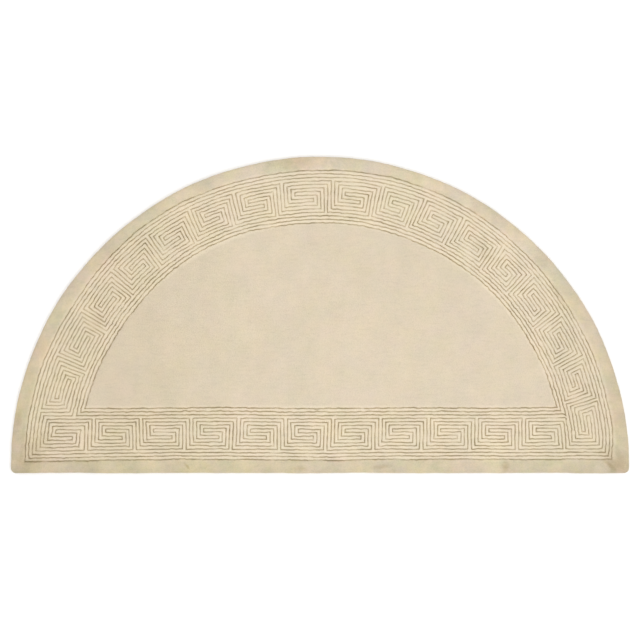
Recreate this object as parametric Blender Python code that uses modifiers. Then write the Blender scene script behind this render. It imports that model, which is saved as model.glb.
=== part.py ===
"""Half-moon hearth rug: one slab of cut wool pile on its foundation, lying flat.

The rug lies in the XY plane with its underside at z = 0. Its straight hearth edge runs along X on the
-Y side, the arc rises towards +Y, and the origin is under the middle of its bounding box.
The pile is carved with closed lines that follow the rug's edge: three outside the border's meander and
three inside it. Metres, +Z up.
"""

import math

import bmesh
import bpy

# The half-moon.
RADIUS = 0.685              # of the arc, which makes the rug 1.37 m wide
STRIP = 0.016               # the straight edge lies this far below the arc's centre
CORNER_RADIUS = 0.011       # where the arc meets the straight edge
ARC_STEPS = 72
CORNER_STEPS = 5

# The pile on its foundation.
THICKNESS = 0.013
SHOULDER = 0.004            # round of the pile along the rug's edge
SHOULDER_STEPS = 3

# The carved lines. The border is 16 lines wide, and the meander takes the ten in the middle.
LINE_NUMBERS = (0, 1, 2, 13, 14, 15)
ARC_MARGIN = 0.0290         # from the arc to line 0
ARC_PITCH = 0.00784         # from one line to the next, along the arc
STRAIGHT_MARGIN = 0.0295    # the same two along the straight edge
STRAIGHT_PITCH = 0.00760
CUT_WIDTH = 0.0024
CUT_DEPTH = 0.0045
CUTTER_PROUD = 0.002        # a cutter reaches this far above the pile

ARC_CENTRE_Y = (STRIP - RADIUS) / 2


def arc(centre, radius, start, end, steps):
    """The points of an arc about centre, both ends included."""
    angles = [start + (end - start) * i / steps for i in range(steps + 1)]
    return [(centre[0] + radius * math.cos(a), centre[1] + radius * math.sin(a)) for a in angles]


def half_moon(arc_inset, straight_inset, corner_radius):
    """The half-moon's outline, anticlockwise from its right corner, set in from the rug's edge."""
    radius = RADIUS - arc_inset
    straight_y = straight_inset - STRIP
    corner_y = straight_y + corner_radius
    corner_x = math.sqrt((radius - corner_radius) ** 2 - corner_y ** 2)
    start = math.atan2(corner_y, corner_x)
    points = arc((0, 0), radius, start, math.pi - start, ARC_STEPS)
    if corner_radius:
        left = arc((-corner_x, corner_y), corner_radius, math.pi - start, 1.5 * math.pi, CORNER_STEPS)
        right = arc((corner_x, corner_y), corner_radius, -0.5 * math.pi, start, CORNER_STEPS)
        points += left[1:] + right[:-1]
    return [(x, y + ARC_CENTRE_Y) for x, y in points]


def flat_curve(name, points, height, base_z, fill):
    """A closed flat curve through the points, raised from base_z by height."""
    curve = bpy.data.curves.new(name, "CURVE")
    curve.dimensions = "2D"
    curve.fill_mode = fill
    curve.extrude = height / 2
    spline = curve.splines.new("POLY")
    spline.points.add(len(points) - 1)
    for point, (x, y) in zip(spline.points, points):
        point.co = (x, y, 0, 1)
    spline.use_cyclic_u = True
    shape = bpy.data.objects.new(name, curve)
    shape.location.z = base_z + height / 2
    bpy.context.scene.collection.objects.link(shape)
    return shape


def as_mesh(shape, collection):
    """A mesh object in place of a curve object, with its caps welded on and its place kept."""
    bpy.context.view_layer.update()
    evaluated = shape.evaluated_get(bpy.context.evaluated_depsgraph_get())
    mesh = bpy.data.meshes.new_from_object(evaluated)
    bm = bmesh.new()
    bm.from_mesh(mesh)
    bmesh.ops.remove_doubles(bm, verts=bm.verts, dist=1e-5)
    bmesh.ops.recalc_face_normals(bm, faces=bm.faces)
    bm.to_mesh(mesh)
    bm.free()
    name = shape.name
    place = shape.matrix_world.copy()
    bpy.data.objects.remove(shape)
    solid = bpy.data.objects.new(name, mesh)
    solid.matrix_world = place
    collection.objects.link(solid)
    return solid


def round_top_edge(solid, width, steps):
    """Rounds the rim of the pile and leaves the underside's rim sharp."""
    top_z = max(v.co.z for v in solid.data.vertices)
    bm = bmesh.new()
    bm.from_mesh(solid.data)
    rim = [
        e for e in bm.edges
        if all(abs(v.co.z - top_z) < 1e-5 for v in e.verts) and e.calc_face_angle(0) > math.radians(45)
    ]
    bmesh.ops.bevel(bm, geom=rim, offset=width, segments=steps, profile=0.5, affect="EDGES")
    bm.to_mesh(solid.data)
    bm.free()


def wool_pile():
    """Undyed cream wool: matt, with no shine of its own."""
    material = bpy.data.materials.new("wool_pile")
    material.use_nodes = True
    shader = material.node_tree.nodes["Principled BSDF"]
    shader.inputs["Base Color"].default_value = (0.74, 0.64, 0.48, 1)
    shader.inputs["Roughness"].default_value = 0.95
    shader.inputs["Metallic"].default_value = 0
    return material


def line_cutter(number, collection):
    """A thin closed wall that cuts one carved line into the pile."""
    points = half_moon(ARC_MARGIN + number * ARC_PITCH, STRAIGHT_MARGIN + number * STRAIGHT_PITCH, 0)
    wall = flat_curve(f"line_cutter_{number}", points, CUT_DEPTH + CUTTER_PROUD, THICKNESS - CUT_DEPTH, "NONE")
    solidify = wall.modifiers.new("Width", "SOLIDIFY")
    solidify.thickness = CUT_WIDTH
    solidify.offset = 0
    solidify.use_even_offset = True
    cutter = as_mesh(wall, collection)
    cutter.hide_render = True
    cutter.display_type = "WIRE"
    return cutter


for old in list(bpy.data.objects):
    bpy.data.objects.remove(old)

parts = bpy.data.collections.new("half_moon_rug")
cutters = bpy.data.collections.new("cutters")
for collection in (parts, cutters):
    bpy.context.scene.collection.children.link(collection)

rug = as_mesh(flat_curve("rug", half_moon(0, 0, CORNER_RADIUS), THICKNESS, 0, "BOTH"), parts)
round_top_edge(rug, SHOULDER, SHOULDER_STEPS)
rug.data.materials.append(wool_pile())

for line_number in LINE_NUMBERS:
    line_cutter(line_number, cutters)
carving = rug.modifiers.new("Carved lines", "BOOLEAN")
carving.operation = "DIFFERENCE"
carving.solver = "EXACT"
carving.operand_type = "COLLECTION"
carving.collection = cutters
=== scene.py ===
import math

import bmesh
import bpy
import numpy as np
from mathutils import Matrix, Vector
from mathutils.geometry import delaunay_2d_cdt


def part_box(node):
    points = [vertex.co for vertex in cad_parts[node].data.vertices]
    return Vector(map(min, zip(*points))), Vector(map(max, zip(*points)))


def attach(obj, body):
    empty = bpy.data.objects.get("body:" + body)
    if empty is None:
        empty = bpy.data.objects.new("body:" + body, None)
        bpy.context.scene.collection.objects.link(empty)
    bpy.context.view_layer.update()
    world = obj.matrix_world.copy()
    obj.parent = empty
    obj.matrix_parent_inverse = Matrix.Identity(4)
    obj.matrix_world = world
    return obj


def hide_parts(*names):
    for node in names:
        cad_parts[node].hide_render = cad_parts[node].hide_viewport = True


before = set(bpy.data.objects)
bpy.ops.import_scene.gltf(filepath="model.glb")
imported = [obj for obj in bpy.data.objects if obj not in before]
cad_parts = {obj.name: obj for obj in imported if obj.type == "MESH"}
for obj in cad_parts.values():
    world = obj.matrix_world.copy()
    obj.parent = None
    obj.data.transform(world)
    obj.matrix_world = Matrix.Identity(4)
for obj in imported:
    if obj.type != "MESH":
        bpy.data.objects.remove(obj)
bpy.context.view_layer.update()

scene = bpy.context.scene
rug_low, rug_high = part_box("rug")


# ---------------------------------------------------------------------------
# Camera: straight above the rug, far off with a long lens, so that the half-moon shows without slant.
# The view is a little wider than the rug, and the rug lies just above its middle.

CAMERA_LENS = 85.0
CAMERA_REACH = 20                                  # metres
VIEW_WIDTH = 1.4164
LOOKS_AT_Y = -0.0113

camera = bpy.data.objects.new("camera", bpy.data.cameras.new("camera"))
camera.data.lens = CAMERA_LENS
camera_rise = VIEW_WIDTH / 2 * CAMERA_LENS / (camera.data.sensor_width / 2)
camera.location = (0, LOOKS_AT_Y, rug_high.z + camera_rise)
camera.data.clip_end = CAMERA_REACH
scene.collection.objects.link(camera)
scene.camera = camera


# ---------------------------------------------------------------------------
# The rug's plan: a half-moon of hand-tufted wool, an arc above one straight hearth edge. The border is
# set out on lines that run parallel to both edges, numbered from the outermost, as the carver marks
# them in chalk. Lines 0 to 2 and 13 to 15 run all the way round; the meander takes lines 3 to 12.

RADIUS = (rug_high.x - rug_low.x) / 2
STRIP = (rug_high.y - rug_low.y) - RADIUS          # from the arc's centre down to the straight edge
ARC_CENTRE_Y = rug_high.y - RADIUS
PILE_TOP = rug_high.z
CORNER_RADIUS = 0.011

ARC_MARGIN, ARC_PITCH = 0.0290, 0.00784            # edge to line 0, then line to line
STRAIGHT_MARGIN, STRAIGHT_PITCH = 0.0295, 0.00760
PITCH = 0.00775                                    # columns of a key, along either strip
LAST_LINE = 15
OUTER_ROW, INNER_ROW = 3, 12                       # the meander's first and last line
ROUND_LINES = (0, 1, 2, 13, 14, 15)
COLUMNS, OWN_COLUMNS = 10, 6                       # of a key; the rest are set out from the next key
CORNER_CLEARANCE = 0.85                            # least pitches from a corner to the next column


def line_radius(line):
    """Radius of one of the arc's lines."""
    return RADIUS - ARC_MARGIN - line * ARC_PITCH


def line_level(line):
    """Height of a straight line above the arc's centre, along Y."""
    return STRAIGHT_MARGIN - STRIP + line * STRAIGHT_PITCH


# One strip of border runs along the straight edge, left to right, and the other back over the arc. Each
# is measured in pitches from the last line of the strip before it, and ends on that of the next one.
MIDDLE_LINE = (OUTER_ROW + INNER_ROW) / 2
middle_level = line_level(MIDDLE_LINE)
middle_radius = line_radius(MIDDLE_LINE)
straight_length = 2 * math.sqrt(line_radius(LAST_LINE) ** 2 - middle_level ** 2)
arc_start = math.asin(line_level(LAST_LINE) / middle_radius)
arc_length = middle_radius * (math.pi - 2 * arc_start)

# The keys were marked out by eye, so each has a row of its own: where it starts, in pitches; how far its
# columns lean ahead at the outer end, in mm; and how far line 0 and line 15 stray inwards there, in mm.
STRAIGHT_KEYS = (
    (2.6, -2, -1.5, -0.4), (16.3, 2, 0.0, -0.4), (30.6, 0, 1.5, 1.0), (44.0, -3, 0.6, 2.0),
    (57.6, 1, 0.2, -0.4), (71.0, -2, -1.8, -0.4), (84.6, -1, 1.2, 0.4), (98.4, -1, 0.8, 1.3),
    (112.1, 0, 2.0, 0.2), (125.6, 0, 0.6, 0.4),
)
ARC_KEYS = (
    (1.7, 5, 4.6, -1.5), (13.8, 7, 3.6, -2.7), (26.6, 7, 4.2, -2.0), (39.7, 5, 3.2, -4.0),
    (50.7, 6, 1.8, -4.0), (64.0, 2, -1.2, -2.4), (76.0, -3, -2.0, -1.0), (87.8, 0, -1.8, -1.6),
    (101.3, 2, 1.0, -0.4), (115.7, -4, 2.0, 0.2), (129.0, -6, 0.8, -5.4), (141.8, -4, -3.0, -6.3),
    (154.8, -1, -3.3, -4.6), (167.6, 3, 0.5, 0.0), (181.2, 1, 4.8, 2.8), (194.9, 0, 2.2, 2.4),
)
# The same strays before each strip's start and past its end: pitches from there, line 0, line 15.
STRAIGHT_BEFORE, STRAIGHT_AFTER = ((-10.0, -4.2, -1.0),), ((3.0, 1.5, 3.0),)
ARC_BEFORE, ARC_AFTER = ((-16.0, 13.0, 0.0), (-8.5, 2.8, -1.5)), ((3.0, 2.6, 2.6),)


class Strip:
    """Where the keys of one strip of border fall, in pitches along it, and how its lines stray."""

    def __init__(self, length, keys, before, after, seed):
        self.keys = len(keys)
        self.length = length
        self.span = length / PITCH
        starts, self.leans, *_ = zip(*keys)
        self.starts = (-INNER_ROW, *starts, self.span + 1)
        strays = [*before, *((start, outer, inner) for start, _, outer, inner in keys),
                  *((self.span + past, outer, inner) for past, outer, inner in after)]
        self.stray_at, *self.strays = zip(*strays)
        self.random = np.random.default_rng(seed)

    def column(self, key, number):
        """Column 0 to 11 of a key. Key 0 turns the corner before the strip, on that corner's lines."""
        if number >= COLUMNS:
            return self.column(key + 1, number - COLUMNS)
        if number < OWN_COLUMNS:
            return self.starts[key] + number
        if key > 0:
            return self.starts[key + 1] + number - COLUMNS
        if number < COLUMNS - 1:
            return number - (COLUMNS - 2)
        return max(self.starts[1] - 1, CORNER_CLEARANCE)


straight = Strip(straight_length, STRAIGHT_KEYS, STRAIGHT_BEFORE, STRAIGHT_AFTER, 11)
arc = Strip(arc_length, ARC_KEYS, ARC_BEFORE, ARC_AFTER, 23)


# ---------------------------------------------------------------------------
# The carving: two grooves run side by side through the whole meander, cut with shears between the
# tufts. Each key is the same both ways up, so its ten rows and ten columns are one small chart.

# Row of a key: the columns where its groove starts and ends. Row 0 is the one nearest the field.
KEY_ROWS = {0: (2, 11), 1: (3, 10), 2: (4, 9), 3: (5, 8), 4: (5, 7),
            5: (4, 6), 6: (3, 6), 7: (2, 7), 8: (1, 8), 9: (0, 9)}
# Column of a key: the rows where its groove starts and ends.
KEY_COLUMNS = {0: (1, 9), 1: (0, 8), 2: (0, 7), 3: (1, 6), 4: (2, 5),
               5: (3, 4), 6: (5, 6), 7: (4, 7), 8: (3, 8), 9: (2, 9)}
STRAIGHT_CUT, ARC_CUT = 0.0047, 0.0043             # how deep the shears went
# Shares of a full cut in depth and width: lines 0 to 2, the meander, and lines 13 to 15.
STRAIGHT_SHARES, ARC_SHARES = (1.0, 0.92, 1.09), (0.90, 0.885, 1.0)
CUT_HALF_WIDTH = 0.00118
CUT_WIDTHS = (0.88, 1.12)                          # least and most, as shares of that
CUT_REACH = 0.3                                    # pitches from a groove's middle to its lip
CUT_SECTION = 1.5                                  # 1 would be a sharp V, 2 a rounded trough
JOINING_COLUMNS = 2                                # a key's first ones, shared with the key before


def grooves(strip, full_depth, shares):
    """Each groove as (along from, along to, line from, line to, depth, width share)."""
    outer, meander, inner = shares
    cuts = []

    def cut(u0, u1, line0, line1, share=meander):
        width = share * strip.random.uniform(*CUT_WIDTHS)
        cuts.append((u0, u1, line0, line1, share * full_depth, width))

    for line in ROUND_LINES:
        cut(line - LAST_LINE, strip.span + LAST_LINE - line, line, line,
            outer if line < OUTER_ROW else inner)
    for key in range(strip.keys + 2):
        if key <= strip.keys:
            for row, (first, last) in KEY_ROWS.items():
                line = INNER_ROW - row
                cut(strip.column(key, first), strip.column(key, last), line, line)
        for number, (first, last) in KEY_COLUMNS.items():
            if key > strip.keys and number >= JOINING_COLUMNS:
                break
            u = strip.column(key, number)
            if key == 0 and number < JOINING_COLUMNS:   # these end on lines of the strip before
                cut(u, u, OUTER_ROW + number, LAST_LINE - 1 - number)
            else:
                cut(u, u, INNER_ROW - last, INNER_ROW - first)
    return cuts


def carve(depth, across, along, cuts, turned=False):
    """Cuts grooves into a grid of depths. across holds the grid rows' lines, along its columns'."""
    for u0, u1, line0, line1, cut_depth, width in cuts:
        if turned:
            u0, u1, line0, line1 = line0, line1, u0, u1
        i = np.flatnonzero((across > line0 - CUT_REACH) & (across < line1 + CUT_REACH))
        j = np.flatnonzero((along > u0 - CUT_REACH) & (along < u1 + CUT_REACH))
        if len(i) and len(j):
            off_line = np.maximum(np.maximum(line0 - across[i], across[i] - line1), 0)
            off_end = np.maximum(np.maximum(u0 - along[j], along[j] - u1), 0)
            away = np.hypot(off_line[:, None], off_end[None, :]) * PITCH / (CUT_HALF_WIDTH * width)
            block = np.ix_(i, j)
            depth[block] = np.maximum(depth[block], cut_depth * np.exp(-away ** CUT_SECTION))


# ---------------------------------------------------------------------------
# The hand: no line is quite true. Each one wavers on its own within a millimetre or so, and the depth of
# the cut comes and goes with the shears.

LINE_WAVER = 0.00042
SHORT_WAVER = 0.00024                              # where the shears follow single tufts
COLUMN_WAVER = 0.000336
LEAD_OFFSETS = (0.1, 0.22)                         # grid rows beside a groove, in pitches
WIDE_STEP = 0.6
LEAST_STEP = 0.25                                  # of a step's true width, where the grid is crowded
LEAN_REACH = 5                                     # lines from the middle as far as columns lean
JOIN_REACH = 8                                     # pitches over which a strip takes up a corner's slant


def waver(random, at, size, shortest=0.018, longest=0.13, waves=6):
    """A smooth random line: size is its usual swing, and at the places along it, in metres."""
    lengths = np.geomspace(shortest, longest, waves) * random.uniform(0.85, 1.15, waves)
    phases = random.uniform(0, 2 * math.pi, waves)
    swings = size * random.uniform(0.5, 1.3, waves) * np.linspace(0.7, 1.4, waves)
    return sum(a * np.sin(2 * math.pi * at / length + phase)
               for a, length, phase in zip(swings, lengths, phases)) / math.sqrt(waves / 2)


def fine_steps(lines, start, end):
    """Grid positions from start to end: on each line, close beside it, and a few in between."""
    steps = [start]
    steps += [lines[0] - d for d in reversed(LEAD_OFFSETS)]
    for a, b in zip(lines, lines[1:]):
        inner = (a + LEAD_OFFSETS[-1], b - LEAD_OFFSETS[-1])
        count = max(2, round((inner[1] - inner[0]) / WIDE_STEP))
        steps += [a, a + LEAD_OFFSETS[0]]
        steps += list(np.linspace(*inner, count + 1))
        steps += [b - LEAD_OFFSETS[0]]
    steps += [lines[-1]] + [lines[-1] + d for d in LEAD_OFFSETS] + [end]
    return np.array(steps)


def share_of(lines, at):
    """How far each place goes with each line: wholly beside it, and fading to the next between them."""
    side = LEAD_OFFSETS[-1]
    knots = np.concatenate([[q - side, q + side] for q in lines])
    return np.array([np.interp(at, knots, np.repeat(np.arange(len(lines)) == k, 2).astype(float))
                     for k in range(len(lines))]).T


line_numbers = np.arange(LAST_LINE + 1)
across = fine_steps(line_numbers, -0.5, LAST_LINE + 0.5)    # half a line past the outermost ones
follows_line = share_of(line_numbers, across)
EASING = np.linspace(-4, 4, 9)                     # pitches over which a stray bends round


class Hand:
    """The waver and the stray of a strip's lines."""

    def __init__(self, strip):
        self.strip = strip
        self.seeds = strip.random.integers(1 << 30, size=LAST_LINE + 1)

    def lines(self, along):
        """How far every grid row lies inwards of its true line, in metres, at pitches along the strip."""
        wavers = 0
        for seed, follows in zip(self.seeds, follows_line.T):
            random = np.random.default_rng(seed)
            long_waver = waver(random, along * PITCH, LINE_WAVER)
            short_waver = waver(random, along * PITCH, SHORT_WAVER, shortest=0.009, longest=0.02, waves=3)
            wavers = wavers + follows[:, None] * (long_waver + short_waver)
        strays = []
        for stray in self.strip.strays:
            eased = sum(np.interp(along + ease, self.strip.stray_at, stray) for ease in EASING)
            strays.append(eased / len(EASING) / 1000)      # from millimetres
        outer, inner = strays
        share = across[:, None] / LAST_LINE
        return wavers + outer * (1 - share) + inner * share


straight_hand, arc_hand = Hand(straight), Hand(arc)


def strip_grid(strip, first_edge, last_edge):
    """Grid columns of a strip and the place of every point along it, between its corners' edges."""
    columns = [(0, COLUMNS - 1)]
    columns += [(key, number) for key in range(1, strip.keys + 1) for number in range(COLUMNS)]
    places = [strip.column(*c) for c in columns][:-1]
    along = fine_steps(places, 0.5, strip.span - 0.5)
    from_middle = np.clip(MIDDLE_LINE - across, -LEAN_REACH, LEAN_REACH)
    offsets = [first_edge - along[0]]
    for key, number in columns[:-1]:
        turn = key if number < OWN_COLUMNS else key + 1     # the key it is set out from
        if turn > strip.keys:
            lean = last_edge - along[-1]
        else:
            lean = strip.leans[turn - 1] / 1000 / PITCH * from_middle / (INNER_ROW - OUTER_ROW)
        own_waver = waver(strip.random, across * PITCH, COLUMN_WAVER, shortest=0.02, longest=0.1, waves=4)
        offsets.append(lean + own_waver / PITCH)
    offsets.append(last_edge - along[-1])
    side = LEAD_OFFSETS[-1]
    follows_column = share_of([along[0] - side] + places + [along[-1] + side], along)
    place = along + (follows_column @ np.array(offsets)).T
    least = along * LEAST_STEP                     # where the corner's slanted edge comes close
    return along, np.maximum.accumulate(place - least, axis=1) + least


def from_corners(along, place):
    """Each point's place as its line counts it, which starts and ends even with the corners' lines."""
    first, last = place[:, :1], place[:, -1:]
    near_first = np.maximum(1 - (place - first) / JOIN_REACH, 0)
    near_last = np.maximum(1 - (last - place) / JOIN_REACH, 0)
    return place + (along[0] - first) * near_first + (along[-1] - last) * near_last


# ---------------------------------------------------------------------------
# The pile's surface over the border, as four grids that meet: the two corners, the straight strip and
# the arc strip. Grid rows run along the lines, so every groove has points down its middle and its lips.

before = across - LAST_LINE                        # a strip's place in the corner before it
after = LAST_LINE - across                         # and past its end, in the corner after it
# At the right-hand corner the key was turned short: its last columns slope down towards the field.
SHORT_TURN_ROWS = (2, 3, 11.6, 13.4)               # of the arc's lines
SHORT_TURN = (0, 0.65, -2.0, 0)                    # pitches off true there
SHORT_TURN_START, SHORT_TURN_RISE = 8, 5           # in the straight strip's lines, towards the field


grooves_of = {straight: grooves(straight, STRAIGHT_CUT, STRAIGHT_SHARES),
              arc: grooves(arc, ARC_CUT, ARC_SHARES)}


def corner_grid(side):
    """x, y and depth over one corner: rows are the arc's lines and columns the straight lines."""
    at_arc = arc.span + after if side < 0 else before
    at_straight = before if side < 0 else straight.span + after
    radius = line_radius(across)[:, None] - arc_hand.lines(at_arc)
    level = line_level(across)[None, :] + straight_hand.lines(at_straight).T
    if side > 0:
        turned = np.clip((across - SHORT_TURN_START) / SHORT_TURN_RISE, 0, 1)
        level += np.interp(across, SHORT_TURN_ROWS, SHORT_TURN)[:, None] * turned * PITCH
    depth = np.zeros(radius.shape)
    # Places along each strip become lines of the other one, which they cross in the corner.
    starting, ending = (straight, arc) if side < 0 else (arc, straight)
    end = ending.span + LAST_LINE
    cuts = {starting: [(u0 + LAST_LINE, u1 + LAST_LINE, *cut) for u0, u1, *cut in grooves_of[starting]],
            ending: [(end - u1, end - u0, *cut) for u0, u1, *cut in grooves_of[ending]]}
    carve(depth, across, across, cuts[arc])
    carve(depth, across, across, cuts[straight], turned=True)
    return side * np.sqrt(radius ** 2 - level ** 2), level, depth


left_x, left_y, left_depth = corner_grid(-1)
right_x, right_y, right_depth = corner_grid(1)


def straight_place(x):
    """How far along the straight strip a point lies, in pitches."""
    return (x + straight.length / 2) / PITCH


along, place = strip_grid(straight, straight_place(left_x[-1]), straight_place(right_x[-1]))
straight_x = place * PITCH - straight.length / 2
straight_y = line_level(across)[:, None] + straight_hand.lines(from_corners(along, place))
straight_y[:, 0], straight_y[:, -1] = left_y[-1], right_y[-1]
straight_depth = np.zeros(straight_x.shape)
carve(straight_depth, across, along, grooves_of[straight])


def arc_place(x, y):
    """How far along the arc strip a point lies, in pitches."""
    return (np.arctan2(y, x) - arc_start) * middle_radius / PITCH


along, place = strip_grid(arc, arc_place(right_x[:, -1], right_y[:, -1]),
                          arc_place(left_x[:, -1], left_y[:, -1]))
angle = arc_start + place * PITCH / middle_radius
radius = line_radius(across)[:, None] - arc_hand.lines(from_corners(along, place))
arc_x, arc_y = radius * np.cos(angle), radius * np.sin(angle)
arc_x[:, 0], arc_y[:, 0] = right_x[:, -1], right_y[:, -1]
arc_x[:, -1], arc_y[:, -1] = left_x[:, -1], left_y[:, -1]
arc_depth = np.zeros(arc_x.shape)
carve(arc_depth, across, along, grooves_of[arc])


# ---------------------------------------------------------------------------
# The rug itself is one piece: pile on top, rounded over along its edge, and the foundation's flat back.
# The grids are joined, thinned where they hold no shape, and closed with plain pile inside and outside.

BORDER_TRIANGLES = 170000
WELD = 1e-5                                        # joins the grids' shared edges
PILE_SWELL = 0.00022                               # soft rise and fall of the shorn surface
SWELL_WIDE, SWELL_NARROW = 0.030, 0.011            # from one rise to the next
CUT_SWELL, CUT_FLICKER = 0.15, 0.16                # share by which a cut's depth comes and goes
FLICKER_STEP = 0.01                                # from one deep place to the next
PLAIN_STEP = 0.0085                                # between points of the plain pile
BACK_STEP = 0.03                                   # between points of the back
SCATTER, CLEARANCE = 0.25, 0.45                    # shares of a step: loose points' jitter and room
INSIDE_ONLY, CLOSEST = 1, 1e-7                     # which triangles are made, and how near points may be
EDGE_STEP = 0.0075                                 # between points along the rug's edge
CORNER_STEPS = 8
LEAST_CORNER = 0.0005                              # radius
EDGE_WAVER = 0.00035
EDGE_WAVER_FADE = 0.05                             # metres from where the outline starts and ends
# The edge from the pile's top to the back: how far in from the outline, and the share of the height.
EDGE_PROFILE = (
    (0.0080, 1.0), (0.0052, 0.992), (0.0030, 0.965), (0.0015, 0.90), (0.0005, 0.79),
    (0.0000, 0.60), (0.0003, 0.35), (0.0011, 0.14), (0.0018, 0.0),
)


def cloud(x, y, size, seed, waves=14):
    """A soft random field in x and y, about -1 to 1, with patches of about the given size."""
    random = np.random.default_rng(seed)
    total = np.zeros(np.shape(x))
    for _ in range(waves):
        heading = random.uniform(0, math.pi)
        rate = math.pi / (size * random.uniform(0.6, 1.6))
        phase = random.uniform(0, 7)
        total += np.sin(rate * (x * math.cos(heading) + y * math.sin(heading)) + phase)
    return total / math.sqrt(waves)


def pile_height(x, y):
    """Height of the shorn surface, which stays a little under the pile's top."""
    swell = 1.5 + cloud(x, y, SWELL_WIDE, seed=5) + 0.5 * cloud(x, y, SWELL_NARROW, seed=6)
    return PILE_TOP - PILE_SWELL * swell


def grid_mesh(bm, x, y, depth):
    """Adds one grid of the border's surface, measured from the arc's centre, to a mesh."""
    y = y + ARC_CENTRE_Y
    slow, quick = cloud(x, y, SWELL_WIDE, seed=7), cloud(x, y, FLICKER_STEP, seed=8)
    z = pile_height(x, y) - depth * (1 + CUT_SWELL * slow + CUT_FLICKER * quick)
    verts = [bm.verts.new(p) for p in zip(x.flat, y.flat, z.flat)]
    rows, columns = x.shape
    for i in range(rows - 1):
        for j in range(columns - 1):
            a = i * columns + j
            bm.faces.new((verts[a], verts[a + 1], verts[a + columns + 1], verts[a + columns]))


def mesh_object(name, bm):
    mesh = bpy.data.meshes.new(name)
    bm.to_mesh(mesh)
    bm.free()
    made = bpy.data.objects.new(name, mesh)
    scene.collection.objects.link(made)
    return made


bm = bmesh.new()
grid_mesh(bm, left_x, left_y, left_depth)
grid_mesh(bm, right_x, right_y, right_depth)
grid_mesh(bm, straight_x, straight_y, straight_depth)
grid_mesh(bm, arc_x, arc_y, arc_depth)
bmesh.ops.remove_doubles(bm, verts=bm.verts, dist=WELD)
border_faces = len(bm.faces)
rug = mesh_object("half_moon_rug", bm)

thinning = rug.modifiers.new("Thinning", "DECIMATE")
thinning.ratio = BORDER_TRIANGLES / (2 * border_faces)
bpy.ops.object.select_all(action="DESELECT")
bpy.context.view_layer.objects.active = rug
bpy.ops.object.modifier_apply(modifier=thinning.name)


def rim_loops(bm):
    """The open edges of a mesh as closed loops of vertices, the longest first."""
    edges = dict.fromkeys(e for e in bm.edges if e.is_boundary)     # keeps its order, as a set would not
    loops = []
    while edges:
        edge, _ = edges.popitem()
        loop = list(edge.verts)
        while loop[-1] != loop[0]:
            edge = next(e for e in loop[-1].link_edges if e in edges)
            del edges[edge]
            loop.append(edge.other_vert(loop[-1]))
        loops.append(loop[:-1])
    return sorted(loops, key=len, reverse=True)


def inside(points, loop):
    """Which points lie inside a closed loop, by counting the sides above each."""
    x, y = points[:, 0, None], points[:, 1, None]
    a, b = loop, np.roll(loop, -1, axis=0)
    spans = (a[:, 0] > x) != (b[:, 0] > x)
    with np.errstate(divide="ignore", invalid="ignore"):
        height = a[:, 1] + (x - a[:, 0]) * (b[:, 1] - a[:, 1]) / (b[:, 0] - a[:, 0])
    return (spans & (height > y)).sum(1) % 2 == 1


def fill(bm, outer, inner, step, height):
    """Fills between two loops of vertices, or inside one, with loose points about step apart."""
    loops = [loop for loop in (outer, inner) if loop]
    rim = [v for loop in loops for v in loop]
    edges, first = [], 0
    for loop in loops:
        edges += [(first + i, first + (i + 1) % len(loop)) for i in range(len(loop))]
        first += len(loop)
    flat = [np.array([v.co.xy for v in loop]) for loop in loops]
    low, high = flat[0].min(0), flat[0].max(0)
    nx, ny = np.ceil((high - low) / step).astype(int)
    gx, gy = np.meshgrid(low[0] + step * (np.arange(nx) + 0.5), low[1] + step * (np.arange(ny) + 0.5))
    gx = gx + step / 2 * (np.arange(ny)[:, None] % 2)
    points = np.stack([gx.ravel(), gy.ravel()], 1)
    points += np.random.default_rng(3).uniform(-SCATTER, SCATTER, points.shape) * step
    keep = inside(points, flat[0])
    if inner:
        keep &= ~inside(points, flat[1])
    points = points[keep]
    rim_points = np.concatenate(flat)
    clear = [np.hypot(*(rim_points - p).T).min() > CLEARANCE * step for p in points]
    points = points[clear]
    made = delaunay_2d_cdt([Vector(p) for p in rim_points] + [Vector(p) for p in points],
                           edges, [], INSIDE_ONLY, CLOSEST)
    where, triangles, origin = np.array([v[:] for v in made[0]]), made[2], made[3]
    verts = []
    for place, sources in zip(where, origin):
        if sources and sources[0] < len(rim):
            verts.append(rim[sources[0]])
        else:
            verts.append(bm.verts.new((*place, height(*place))))
    centres = np.array([where[list(t)].mean(0) for t in triangles])
    keep = inside(centres, flat[0])
    if inner:
        keep &= ~inside(centres, flat[1])
    return [bm.faces.new([verts[i] for i in t]) for t, wanted in zip(triangles, keep) if wanted]


def outline(inset):
    """The rug's outline, set in by a distance, as the x and the y of its points."""
    radius, level = RADIUS - inset, inset - STRIP
    corner = max(CORNER_RADIUS - inset, LEAST_CORNER)
    centre_y = level + corner
    centre_x = math.sqrt((radius - corner) ** 2 - centre_y ** 2)
    start = math.atan2(centre_y, centre_x)
    turns = round((math.pi - 2 * start) * RADIUS / EDGE_STEP)
    sweep = np.linspace(start, math.pi - start, turns + 1)
    corner_sweep = np.linspace(math.pi - start, 1.5 * math.pi, CORNER_STEPS + 1)[1:]
    level_x = np.linspace(-centre_x, centre_x, round(2 * centre_x / EDGE_STEP) + 1)[1:-1]
    x = np.concatenate([radius * np.cos(sweep), -centre_x + corner * np.cos(corner_sweep),
                        level_x, centre_x - corner * np.cos(corner_sweep[::-1])])
    y = np.concatenate([radius * np.sin(sweep), centre_y + corner * np.sin(corner_sweep),
                        np.full(len(level_x), level), centre_y + corner * np.sin(corner_sweep[::-1])])
    return x, y + ARC_CENTRE_Y


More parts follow.
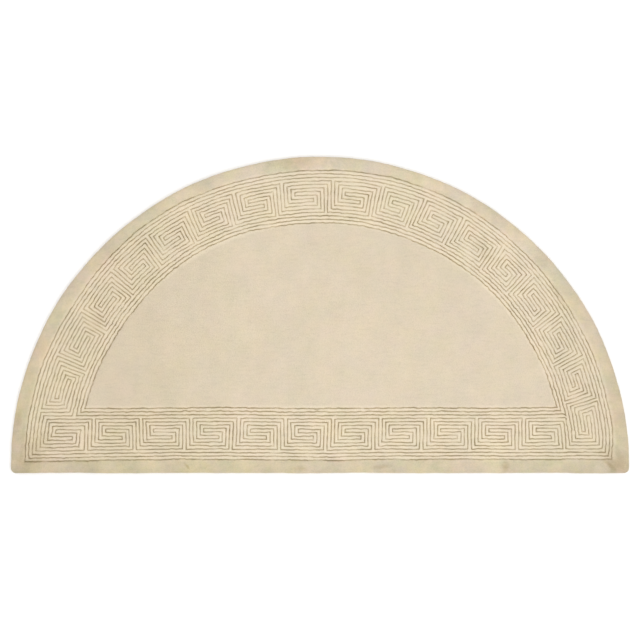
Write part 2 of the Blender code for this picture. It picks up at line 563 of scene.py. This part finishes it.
bm = bmesh.new()
bm.from_mesh(rug.data)
outer_loop, inner_loop = rim_loops(bm)[:2]
edge_x, edge_y = outline(0)
along_edge = np.concatenate([[0], np.cumsum(np.hypot(np.diff(edge_x), np.diff(edge_y)))])
unevenness = waver(np.random.default_rng(31), along_edge, EDGE_WAVER, shortest=0.02, longest=0.4, waves=7)
unevenness *= np.minimum(1, np.minimum(along_edge, along_edge[-1] - along_edge) / EDGE_WAVER_FADE)
tangent = np.stack([np.roll(edge, -1) - np.roll(edge, 1) for edge in (edge_x, edge_y)])
tangent /= np.hypot(*tangent)
rings = []
for inset, share in EDGE_PROFILE:
    x, y = outline(inset)
    x, y = x + unevenness * tangent[1], y - unevenness * tangent[0]
    z = pile_height(x, y) * share
    rings.append([bm.verts.new(p) for p in zip(x, y, z)])
for upper, lower in zip(rings, rings[1:]):
    for i in range(len(upper)):
        j = (i + 1) % len(upper)
        bm.faces.new((upper[i], upper[j], lower[j], lower[i]))
fill(bm, rings[0], outer_loop, PLAIN_STEP, pile_height)
fill(bm, inner_loop, None, PLAIN_STEP, pile_height)
underside = fill(bm, rings[-1], None, BACK_STEP, lambda x, y: 0.0)
bmesh.ops.recalc_face_normals(bm, faces=bm.faces)
for face in bm.faces:
    face.smooth = True
for face in underside:
    face.material_index = 1
bm.to_mesh(rug.data)
bm.free()


# ---------------------------------------------------------------------------
# The wool: hand-spun, undyed cream yarn, tufted in rows along the rug and shorn level. Its cut ends show
# pale and quite matt; where the shears open the pile the sides of the yarn show, a little browner, and
# the colour darkens further with depth as painted shade down in the grooves. It is darker towards the
# edge, at the right end and in the margin along the hearth, with painted shade towards the left end; the
# carved band is painted lighter than the field, a painted highlight on its ridges.

WOOL = "#dfd1b8"                                   # cut ends of the yarn
WOOL_SIDE_AND_SHADE = "#bfaf8d"                              # its sides down in a groove, darkened with painted shade
SIDE_SHADE_START, SIDE_SHADE_FULL = 0.0010, 0.0046           # depths where the sides and the painted shade begin to show, and wholly do
STRAY_STEP, STRAY_LENGTH = 0.009, 0.0030           # of stray ends that half close a cut
RIM_START, RIM_FULL = 0.006, 0.016                 # distances in from the edge: no sides or painted shade show on the rim
TUFT = 0.0023                                      # between tufts
TUFT_MIDDLE, TUFT_GAP = 0.25, 0.8                  # in tufts' widths from a tuft's middle
# Painted light on a tuft's middle and painted shade in the gaps between tufts.
TUFT_PAINTED_LIGHT, GAP_PAINTED_SHADE = 0.04, -0.055
# Single fibres are a twentieth of a millimetre thick; they are drawn far coarser, so that they show.
FIBRE = 0.0009
MARGIN_START, MARGIN_FULL = 0.034, 0.026           # distances in from the edge
MARGIN_PATCHY = 2.5                                # times as patchy as the rest
PATCH = 0.07                                       # the largest patches of dye and soil
PATCH_TINT = (0.10, 0.10, 0.21)                    # how strongly they shift red, green and blue
PATCH_SHADE, TUFT_SHADE, BAND_SHADE, DASH_SHADE = 0.17, 0.012, 0.05, -0.035
SHADE_LEVEL = -0.112                               # evens these out, so that usual wool is unchanged
DASH_LENGTH, DASH_WIDTH = 0.030, 0.005
DASH_START, DASH_FULL = 0.50, 0.70                 # levels of noise
BAND_WIDTH, BAND_LENGTH = 0.045, 0.3
TUFT_ROUGHNESS, GAP_ROUGHNESS = 0.88, 1.0
# Tint by the distance in from the edge: darker in the outer margin, and lighter over the carved band than
# in the field, a painted highlight on its ridges. Columns: the distance in from the edge, and the tint
# there.
EDGE_TINT_AND_RIDGE_HIGHLIGHT = (
    (0.000, "#e4e2de"), (0.010, "#e9e8e5"), (0.024, "#ecebe7"), (0.034, "#fefefe"),
    (0.050, "#fcfcfb"), (0.125, "#fcfcfb"), (0.144, "#ffffff"), (0.152, "#eeeded"),
)
# Where it is darker still: painted shade towards the left end, as if lit from the right, and darker at
# the right end and in the margin along the hearth. Columns: the axis, where on it that starts and is
# full, the tint, the margin only.
PAINTED_SHADE_AND_DARKER_PARTS = (
    # painted shade, deepening towards the left end
    (0, -0.10, -0.45, "#f9f8f5", False),
    (0, 0.44, 0.58, "#f8f8f7", False),
    (1, 0.08, -0.18, "#f8f8f4", True),
)
STAIN = "#c9bd9b"
STAIN_RAGGED = 1.6                                 # how far patches pull a stain's outline in
STAIN_START, STAIN_FULL = 2.0, 0.9                 # in half lengths, on top of the patches' usual 0.8
# Old marks: middle x and y, length, width, heading in degrees, strength.
STAINS = (
    (0.664, -0.331, 0.105, 0.066, -40, 0.48),
    (0.640, -0.331, 0.048, 0.012, -38, 0.42),
    (0.411, -0.336, 0.030, 0.022, 80, 0.45),
    (-0.640, -0.312, 0.150, 0.070, 62, 0.30),
    (-0.294, -0.335, 0.022, 0.007, -50, 0.50),
    (-0.045, -0.340, 0.045, 0.014, 0, 0.30),
    (0.135, -0.336, 0.050, 0.012, 5, 0.30),
    (0.365, 0.141, 0.070, 0.040, -55, 0.13),
    (0.531, 0.037, 0.090, 0.018, -58, 0.25),
    (-0.496, -0.020, 0.070, 0.036, 60, 0.12),
    (-0.667, -0.230, 0.050, 0.018, 82, 0.30),
    (-0.040, 0.338, 0.150, 0.036, 2, 0.26),
)


def linear(colour):
    """A hex sRGB colour as linear RGBA."""
    shares = [int(colour[i:i + 2], 16) / 255 for i in (1, 3, 5)]
    return [c / 12.92 if c <= 0.04045 else ((c + 0.055) / 1.055) ** 2.4 for c in shares] + [1]


def add_node(tree, kind, inputs, out=0, **settings):
    """Adds a node with its settings and returns one of its outputs.

    Each input, by its name or number, is given a value or a link from another node's output.
    """
    made = tree.nodes.new(kind)
    for name, value in settings.items():
        setattr(made, name, value)
    for socket, value in inputs.items():
        if isinstance(value, bpy.types.NodeSocket):
            tree.links.new(value, made.inputs[socket])
        else:
            made.inputs[socket].default_value = value
    return made.outputs[out]


wool = bpy.data.materials.new("tufted_wool_pile")
wool.use_nodes = True
tree = wool.node_tree
finish = tree.nodes["Principled BSDF"]
spot = add_node(tree, "ShaderNodeTexCoord", {}, out=3)
axes = add_node(tree, "ShaderNodeSeparateXYZ", {0: spot}).node.outputs
flat_spot = add_node(tree, "ShaderNodeVectorMath", {0: spot, 1: (1, 1, 0)}, operation="MULTIPLY")
from_centre = add_node(tree, "ShaderNodeVectorMath", {0: flat_spot, 1: (0, ARC_CENTRE_Y, 0)},
                       out=1, operation="DISTANCE")
from_arc = add_node(tree, "ShaderNodeMath", {0: RADIUS, 1: from_centre}, operation="SUBTRACT")
from_straight = add_node(tree, "ShaderNodeMath", {0: axes[1], 1: rug_low.y}, operation="SUBTRACT")
from_edge = add_node(tree, "ShaderNodeMath", {0: from_arc, 1: from_straight}, operation="MINIMUM")

# Yarn sides and painted groove shade show with the depth of a cut, and stray ends half close it here and
# there.
strays = add_node(tree, "ShaderNodeTexNoise", {"Vector": spot, "Scale": 1 / STRAY_STEP, "Detail": 2.0})
below = add_node(tree, "ShaderNodeMath", {0: PILE_TOP - STRAY_LENGTH / 2, 1: axes[2]},
                 operation="SUBTRACT")
below = add_node(tree, "ShaderNodeMath", {0: strays, 1: STRAY_LENGTH, 2: below},
                 operation="MULTIPLY_ADD")
side_and_shade_share = add_node(tree, "ShaderNodeMapRange", {0: below, 1: SIDE_SHADE_START, 2: SIDE_SHADE_FULL},
                      interpolation_type="SMOOTHSTEP")
off_rim = add_node(tree, "ShaderNodeMapRange", {0: from_edge, 1: RIM_START, 2: RIM_FULL})
side_and_shade_share = add_node(tree, "ShaderNodeMath", {0: side_and_shade_share, 1: off_rim}, operation="MULTIPLY")
colour = add_node(tree, "ShaderNodeMix", {0: side_and_shade_share, 6: linear(WOOL), 7: linear(WOOL_SIDE_AND_SHADE)},
                  out=2, data_type="RGBA")

# Darker towards the edge, and lighter over the carved band, a painted highlight on its ridges; painted
# shade towards the left end, and darker at the right end and in the margin along the hearth.
edge_tint_share = add_node(tree, "ShaderNodeMapRange", {0: from_edge, 2: EDGE_TINT_AND_RIDGE_HIGHLIGHT[-1][0]})
edge_tint_and_highlight = add_node(tree, "ShaderNodeValToRGB", {0: edge_tint_share})
stops = edge_tint_and_highlight.node.color_ramp.elements
while len(stops) < len(EDGE_TINT_AND_RIDGE_HIGHLIGHT):
    stops.new(0.5)
for stop, (inset, tint) in zip(stops, EDGE_TINT_AND_RIDGE_HIGHLIGHT):
    stop.position = inset / EDGE_TINT_AND_RIDGE_HIGHLIGHT[-1][0]
    stop.color = linear(tint)
colour = add_node(tree, "ShaderNodeMix", {0: 1.0, 6: colour, 7: edge_tint_and_highlight}, out=2, data_type="RGBA",
                  blend_type="MULTIPLY")
margin = add_node(tree, "ShaderNodeMapRange", {0: from_edge, 1: MARGIN_START, 2: MARGIN_FULL})
for axis, start, full, tint, in_margin in PAINTED_SHADE_AND_DARKER_PARTS:
    darkening = add_node(tree, "ShaderNodeMapRange", {0: axes[axis], 1: start, 2: full},
                      interpolation_type="SMOOTHSTEP")
    if in_margin:
        darkening = add_node(tree, "ShaderNodeMath", {0: darkening, 1: margin}, operation="MULTIPLY")
    colour = add_node(tree, "ShaderNodeMix", {0: darkening, 6: colour, 7: linear(tint)}, out=2,
                      data_type="RGBA", blend_type="MULTIPLY")

# Dye and soil in soft patches of many sizes, stronger in the margin, faint bands across the rows, short
# dark dashes along them where a thicker yarn lies low, a shade of its own for each tuft, painted shade in
# the gaps between tufts with their middles painted a little lighter, and old marks.
patches = add_node(tree, "ShaderNodeTexNoise", {"Vector": spot, "Scale": 1 / PATCH, "Detail": 4.0,
                                                "Roughness": 0.8})
patchy = add_node(tree, "ShaderNodeMapRange", {0: margin, 3: 1.0, 4: MARGIN_PATCHY})
tints = add_node(tree, "ShaderNodeVectorMath", {0: patches.node.outputs[1], 1: (0.5, 0.5, 0.5)},
                 operation="SUBTRACT")
tints = add_node(tree, "ShaderNodeVectorMath", {0: tints, 1: PATCH_TINT}, operation="MULTIPLY")
tints = add_node(tree, "ShaderNodeVectorMath", {0: tints, 3: patchy}, operation="SCALE")
tints = add_node(tree, "ShaderNodeVectorMath", {0: tints, 1: (1, 1, 1)}, operation="ADD")
colour = add_node(tree, "ShaderNodeVectorMath", {0: colour, 1: tints}, operation="MULTIPLY")
dash_spot = add_node(tree, "ShaderNodeMapping", {0: spot, 3: (1 / DASH_LENGTH, 1 / DASH_WIDTH, 1)})
dashes = add_node(tree, "ShaderNodeTexNoise", {"Vector": dash_spot, "Scale": 1.0, "Detail": 1.0})
dashes = add_node(tree, "ShaderNodeMapRange", {0: dashes, 1: DASH_START, 2: DASH_FULL, 4: DASH_SHADE})
band_spot = add_node(tree, "ShaderNodeMapping", {0: spot, 3: (1 / BAND_WIDTH, 1 / BAND_LENGTH, 1)})
bands = add_node(tree, "ShaderNodeTexNoise", {"Vector": band_spot, "Scale": 1.0, "Detail": 1.0})
tufts = add_node(tree, "ShaderNodeTexVoronoi", {"Vector": spot, "Scale": 1 / TUFT})
tuft_shade = add_node(tree, "ShaderNodeSeparateXYZ", {0: tufts.node.outputs[1]})
# Painted shade between the tufts, a little lighter at their middles.
tuft_painted_shade = add_node(tree, "ShaderNodeMapRange", {0: tufts, 1: TUFT_MIDDLE, 2: TUFT_GAP,
                                             3: TUFT_PAINTED_LIGHT, 4: GAP_PAINTED_SHADE})
shade = SHADE_LEVEL
for pattern, strength in ((patches, PATCH_SHADE), (bands, BAND_SHADE), (tuft_shade, TUFT_SHADE)):
    shade = add_node(tree, "ShaderNodeMath", {0: pattern, 1: strength, 2: shade},
                     operation="MULTIPLY_ADD")
shade = add_node(tree, "ShaderNodeMath", {0: shade, 1: patchy, 2: 1.0}, operation="MULTIPLY_ADD")
shade = add_node(tree, "ShaderNodeMath", {0: shade, 1: dashes}, operation="ADD")
shade = add_node(tree, "ShaderNodeMath", {0: shade, 1: tuft_painted_shade}, operation="ADD")
colour = add_node(tree, "ShaderNodeVectorMath", {0: colour, 3: shade}, operation="SCALE")
for x, y, length, width, heading, strength in STAINS:
    own_spot = add_node(tree, "ShaderNodeMapping", {
        0: spot, 1: (x, y, 0), 2: (0, 0, math.radians(heading)), 3: (length / 2, width / 2, 1)},
        vector_type="TEXTURE")
    away = add_node(tree, "ShaderNodeVectorMath", {0: own_spot}, out=1, operation="LENGTH")
    away = add_node(tree, "ShaderNodeMath", {0: patches, 1: STAIN_RAGGED, 2: away},
                    operation="MULTIPLY_ADD")
    stained = add_node(tree, "ShaderNodeMapRange", {0: away, 1: STAIN_START, 2: STAIN_FULL, 4: strength},
                       interpolation_type="SMOOTHSTEP")
    colour = add_node(tree, "ShaderNodeMix", {0: stained, 6: colour, 7: linear(STAIN)}, out=2,
                      data_type="RGBA", blend_type="MULTIPLY")
tree.links.new(colour, finish.inputs["Base Color"])

# The tufts stand up as soft knobs with fibres on them, roughest between them, with a little sheen.
fibres = add_node(tree, "ShaderNodeTexNoise", {"Vector": spot, "Scale": 1 / FIBRE, "Detail": 2.0})
relief = add_node(tree, "ShaderNodeMath", {0: tufts, 1: -1.0, 2: fibres}, operation="MULTIPLY_ADD")
bump = add_node(tree, "ShaderNodeBump", {"Strength": 0.6, "Distance": 0.0008, "Height": relief})
tree.links.new(bump, finish.inputs["Normal"])
roughness = add_node(tree, "ShaderNodeMapRange", {0: tufts, 2: 0.7, 3: TUFT_ROUGHNESS,
                                                  4: GAP_ROUGHNESS})
tree.links.new(roughness, finish.inputs["Roughness"])
finish.inputs["Specular IOR Level"].default_value = 0.2
finish.inputs["Sheen Weight"].default_value = 0.15
finish.inputs["Sheen Roughness"].default_value = 0.6
rug.data.materials.append(wool)


# ---------------------------------------------------------------------------
# The back: cotton canvas, painted with latex to lock the tufts. The latex has sunk into a plain weave,
# so the threads show as a soft grid under a dull, slightly patchy skin.

CANVAS = "#c6b998"
LATEX = "#b3a582"
THREAD = 0.0021                                    # between the canvas's threads
WAVE_SCALE = math.pi / 10                          # at which a wave texture repeats every metre
SKIN_PATCH = 0.05                                  # from one thin place of the latex to the next
SKIN_WHOLE, SKIN_THIN = 0.3, 0.7                   # levels of noise
LATEX_ROUGHNESS, CANVAS_ROUGHNESS = 0.62, 0.9

canvas = bpy.data.materials.new("latexed_canvas")
canvas.use_nodes = True
tree = canvas.node_tree
finish = tree.nodes["Principled BSDF"]
spot = add_node(tree, "ShaderNodeTexCoord", {}, out=3)
warp, weft = (add_node(tree, "ShaderNodeTexWave", {
    "Vector": spot, "Scale": WAVE_SCALE / THREAD, "Distortion": 0.6, "Detail": 1.0,
    "Detail Scale": 0.4}, out=1, bands_direction=direction) for direction in ("X", "Y"))
weave = add_node(tree, "ShaderNodeMath", {0: warp, 1: weft}, operation="MULTIPLY")
skin = add_node(tree, "ShaderNodeTexNoise", {"Vector": spot, "Scale": 1 / SKIN_PATCH, "Detail": 4.0})
skin = add_node(tree, "ShaderNodeMapRange", {0: skin, 1: SKIN_WHOLE, 2: SKIN_THIN})
bare = add_node(tree, "ShaderNodeMath", {0: weave, 1: skin}, operation="MULTIPLY")
colour = add_node(tree, "ShaderNodeMix", {0: bare, 6: linear(LATEX), 7: linear(CANVAS)},
                  out=2, data_type="RGBA")
tree.links.new(colour, finish.inputs["Base Color"])
roughness = add_node(tree, "ShaderNodeMapRange", {0: bare, 3: LATEX_ROUGHNESS, 4: CANVAS_ROUGHNESS})
tree.links.new(roughness, finish.inputs["Roughness"])
bump = add_node(tree, "ShaderNodeBump", {"Strength": 0.6, "Distance": 0.0005, "Height": weave})
tree.links.new(bump, finish.inputs["Normal"])
rug.data.materials.append(canvas)

rug_area = abs(np.dot(edge_x, np.roll(edge_y, -1)) - np.dot(edge_y, np.roll(edge_x, -1))) / 2
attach(rug, "root")
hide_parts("rug")


# ---------------------------------------------------------------------------
# The floor and the light: a floor in matt white paint under an even white sky, and one large soft light
# that hangs high over the hearth side, a little to the right.

FLOOR_SIZE, FLOOR_GAP = 80, 0.0005                 # metres; the gap keeps the rug's back off the floor
FLOOR_GREY = 0.95
SKY_STRENGTH = 1.0
LIGHT_PLACE = Vector((0.7, -0.8, 3.2))
LIGHT_SIZE, LIGHT_POWER = 3.0, 34                  # metres and watts

bpy.ops.object.select_all(action="DESELECT")
bpy.ops.mesh.primitive_plane_add(size=FLOOR_SIZE, location=(0, 0, -FLOOR_GAP))
floor = bpy.context.object
floor.name = floor.data.name = "floor"
paint = bpy.data.materials.new("floor_paint")
paint.use_nodes = True
finish = paint.node_tree.nodes["Principled BSDF"]
finish.inputs["Base Color"].default_value = (FLOOR_GREY, FLOOR_GREY, FLOOR_GREY, 1)
finish.inputs["Roughness"].default_value = 0.8
floor.data.materials.append(paint)

world = bpy.data.worlds.new("studio")
world.use_nodes = True
sky = world.node_tree.nodes["Background"]
sky.inputs["Color"].default_value = (1, 1, 1, 1)
sky.inputs["Strength"].default_value = SKY_STRENGTH
scene.world = world

light = bpy.data.objects.new("key", bpy.data.lights.new("key", "AREA"))
light.data.size = LIGHT_SIZE
light.data.energy = LIGHT_POWER
light.location = LIGHT_PLACE
light.rotation_euler = (-LIGHT_PLACE).to_track_quat("-Z", "Y").to_euler()
scene.collection.objects.link(light)
scene.view_settings.view_transform = "Standard"
